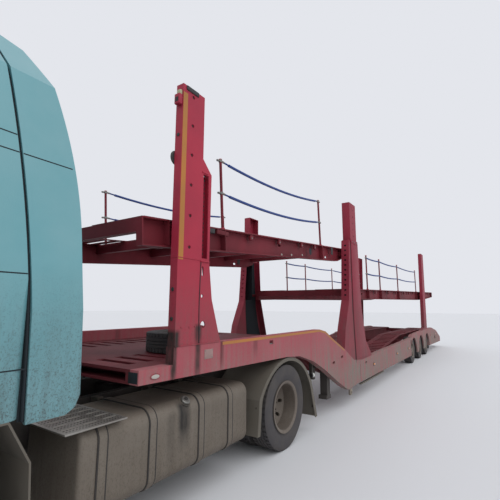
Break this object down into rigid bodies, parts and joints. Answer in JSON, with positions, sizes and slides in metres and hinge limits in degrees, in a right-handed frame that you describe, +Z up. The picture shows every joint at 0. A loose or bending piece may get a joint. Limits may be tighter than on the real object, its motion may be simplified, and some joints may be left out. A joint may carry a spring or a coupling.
{
  "type": "car transporter truck",
  "caption": "Articulated car transporter: a teal sleeper-cab tractor and a faded red two-deck car-carrying semi-trailer with movable upper decks.",
  "frame": {"origin": "middle of the outline on the ground, under the lorry's centre line", "axes": "+X forward along the lorry, +Y to the driver's left, +Z up"},
  "size_m": [19.95, 3.08, 3.78],
  "materials": {
    "cab_paint": "worn teal paint with road film",
    "cab_glass": "tinted glass",
    "frame_paint": "dusty black chassis paint",
    "cast_block": "oily cast iron",
    "lamp_lens": "clear and red lamp lenses",
    "cab_trim": "dusty dark plastic",
    "seat_cloth": "dark seat cloth",
    "tank_metal": "dirty aluminium",
    "tyre_rubber": "dusty rubber",
    "rim_steel": "dirty grey steel rims",
    "post_paint": "faded red paint with an ochre stripe",
    "beam_paint": "faded red paint under road dirt",
    "deck_paint": "worn dark red paint",
    "shoe_steel": "greased steel",
    "rope_blue": "dark blue sleeved rope"
  },
  "bodies": {
    "tractor": {"tractor_frame": "frame_paint", "engine_block": "cast_block", "front_axle": "frame_paint", "drive_axle": "frame_paint", "fifth_wheel": "cast_block", "mudguards": "cab_trim", "fuel_tanks": "tank_metal", "step_plates": "tank_metal", "front_bumper": "cab_paint", "tractor_lamps": "lamp_lens"},
    "cab": {"cab_shell": "cab_paint", "cab_roof": "cab_paint", "front_panel": "cab_paint", "windscreen": "cab_glass", "side_fairings": "cab_paint", "dashboard": "cab_trim", "cab_seats": "seat_cloth", "mirrors": "cab_trim"},
    "trailer": {"side_beams": "beam_paint", "gooseneck_deck": "deck_paint", "low_deck": "deck_paint", "front_posts": "post_paint", "middle_posts": "post_paint", "rear_posts": "post_paint", "trailer_axles": "frame_paint", "landing_legs": "frame_paint", "trailer_lamps": "lamp_lens", "spare_tyre": "tyre_rubber"},
    "front_lift": {"front_shoes": "shoe_steel"},
    "front_deck": {"front_deck": "deck_paint", "front_ropes": "rope_blue"},
    "rear_lift": {"rear_shoes": "shoe_steel"},
    "rear_deck": {"rear_deck": "deck_paint", "rear_ropes": "rope_blue"},
    "door_left": {"door_left": "cab_paint", "door_glass_left": "cab_glass"},
    "knuckle_left": {"knuckle_left": "frame_paint"},
    "front_wheel_left": {"front_rim_left": "rim_steel", "front_tyre_left": "tyre_rubber"},
    "drive_wheels_left": {"drive_rims_left": "rim_steel", "drive_tyres_left": "tyre_rubber"},
    "door_right": {"door_right": "cab_paint", "door_glass_right": "cab_glass"},
    "knuckle_right": {"knuckle_right": "frame_paint"},
    "front_wheel_right": {"front_rim_right": "rim_steel", "front_tyre_right": "tyre_rubber"},
    "drive_wheels_right": {"drive_rims_right": "rim_steel", "drive_tyres_right": "tyre_rubber"},
    "trailer_wheel_1_left": {"trailer_rim_1_left": "rim_steel", "trailer_tyre_1_left": "tyre_rubber"},
    "trailer_wheel_1_right": {"trailer_rim_1_right": "rim_steel", "trailer_tyre_1_right": "tyre_rubber"},
    "trailer_wheel_2_left": {"trailer_rim_2_left": "rim_steel", "trailer_tyre_2_left": "tyre_rubber"},
    "trailer_wheel_2_right": {"trailer_rim_2_right": "rim_steel", "trailer_tyre_2_right": "tyre_rubber"},
    "trailer_wheel_3_left": {"trailer_rim_3_left": "rim_steel", "trailer_tyre_3_left": "tyre_rubber"},
    "trailer_wheel_3_right": {"trailer_rim_3_right": "rim_steel", "trailer_tyre_3_right": "tyre_rubber"}
  },
  "joints": [
    {"name": "cab_tilt", "type": "hinge", "parent": "tractor", "child": "cab", "pos_m": [9.9, 0, 1.115], "axis": [0, 1, 0], "range_deg": [0, 55]},
    {"name": "door_left_hinge", "type": "hinge", "parent": "cab", "child": "door_left", "pos_m": [9.762, 1.266, 1.44], "axis": [0, 0, -1], "range_deg": [0, 70]},
    {"name": "steer_left", "type": "hinge", "parent": "tractor", "child": "knuckle_left", "pos_m": [8.575, 0.88, 0.5], "axis": [0, 0, 1], "range_deg": [-35, 35]},
    {"name": "front_wheel_left_spin", "type": "hinge", "parent": "knuckle_left", "child": "front_wheel_left", "pos_m": [8.575, 1.08, 0.5], "axis": [0, 1, 0], "continuous": true},
    {"name": "drive_wheels_left_spin", "type": "hinge", "parent": "tractor", "child": "drive_wheels_left", "pos_m": [4.875, 0.94, 0.5], "axis": [0, 1, 0], "continuous": true},
    {"name": "door_right_hinge", "type": "hinge", "parent": "cab", "child": "door_right", "pos_m": [9.762, -1.266, 1.44], "axis": [0, 0, 1], "range_deg": [0, 70]},
    {"name": "steer_right", "type": "hinge", "parent": "tractor", "child": "knuckle_right", "pos_m": [8.575, -0.88, 0.5], "axis": [0, 0, 1], "range_deg": [-35, 35]},
    {"name": "front_wheel_right_spin", "type": "hinge", "parent": "knuckle_right", "child": "front_wheel_right", "pos_m": [8.575, -1.08, 0.5], "axis": [0, 1, 0], "continuous": true},
    {"name": "drive_wheels_right_spin", "type": "hinge", "parent": "tractor", "child": "drive_wheels_right", "pos_m": [4.875, -0.94, 0.5], "axis": [0, 1, 0], "continuous": true},
    {"name": "kingpin_yaw", "type": "hinge", "parent": "tractor", "child": "trailer", "pos_m": [5.325, 0, 1.08], "axis": [0, 0, 1], "range_deg": [-90, 90]},
    {"name": "trailer_wheel_1_left_spin", "type": "hinge", "parent": "trailer", "child": "trailer_wheel_1_left", "pos_m": [-3.675, 1.072, 0.4], "axis": [0, 1, 0], "continuous": true},
    {"name": "trailer_wheel_1_right_spin", "type": "hinge", "parent": "trailer", "child": "trailer_wheel_1_right", "pos_m": [-3.675, -1.072, 0.4], "axis": [0, 1, 0], "continuous": true},
    {"name": "trailer_wheel_2_left_spin", "type": "hinge", "parent": "trailer", "child": "trailer_wheel_2_left", "pos_m": [-5.008, 1.072, 0.4], "axis": [0, 1, 0], "continuous": true},
    {"name": "trailer_wheel_2_right_spin", "type": "hinge", "parent": "trailer", "child": "trailer_wheel_2_right", "pos_m": [-5.008, -1.072, 0.4], "axis": [0, 1, 0], "continuous": true},
    {"name": "trailer_wheel_3_left_spin", "type": "hinge", "parent": "trailer", "child": "trailer_wheel_3_left", "pos_m": [-6.341, 1.072, 0.4], "axis": [0, 1, 0], "continuous": true},
    {"name": "trailer_wheel_3_right_spin", "type": "hinge", "parent": "trailer", "child": "trailer_wheel_3_right", "pos_m": [-6.341, -1.072, 0.4], "axis": [0, 1, 0], "continuous": true},
    {"name": "front_lift_slide", "type": "slide", "parent": "trailer", "child": "front_lift", "axis": [0, 0, 1], "range_m": [-0.5, 0.45]},
    {"name": "front_deck_tilt", "type": "hinge", "parent": "front_lift", "child": "front_deck", "pos_m": [6.715, 0, 2.385], "axis": [0, 1, 0], "range_deg": [-7, 5]},
    {"name": "rear_lift_slide", "type": "slide", "parent": "trailer", "child": "rear_lift", "axis": [0, 0, 1], "range_m": [-0.6, 0.8]},
    {"name": "rear_deck_tilt", "type": "hinge", "parent": "rear_lift", "child": "rear_deck", "pos_m": [-6.305, 0, 2.17], "axis": [0, -1, 0], "range_deg": [-3, 6]}
  ],
  "couplings": [
    {"joint": "steer_right", "follows": "steer_left", "ratio": 1}
  ]
}
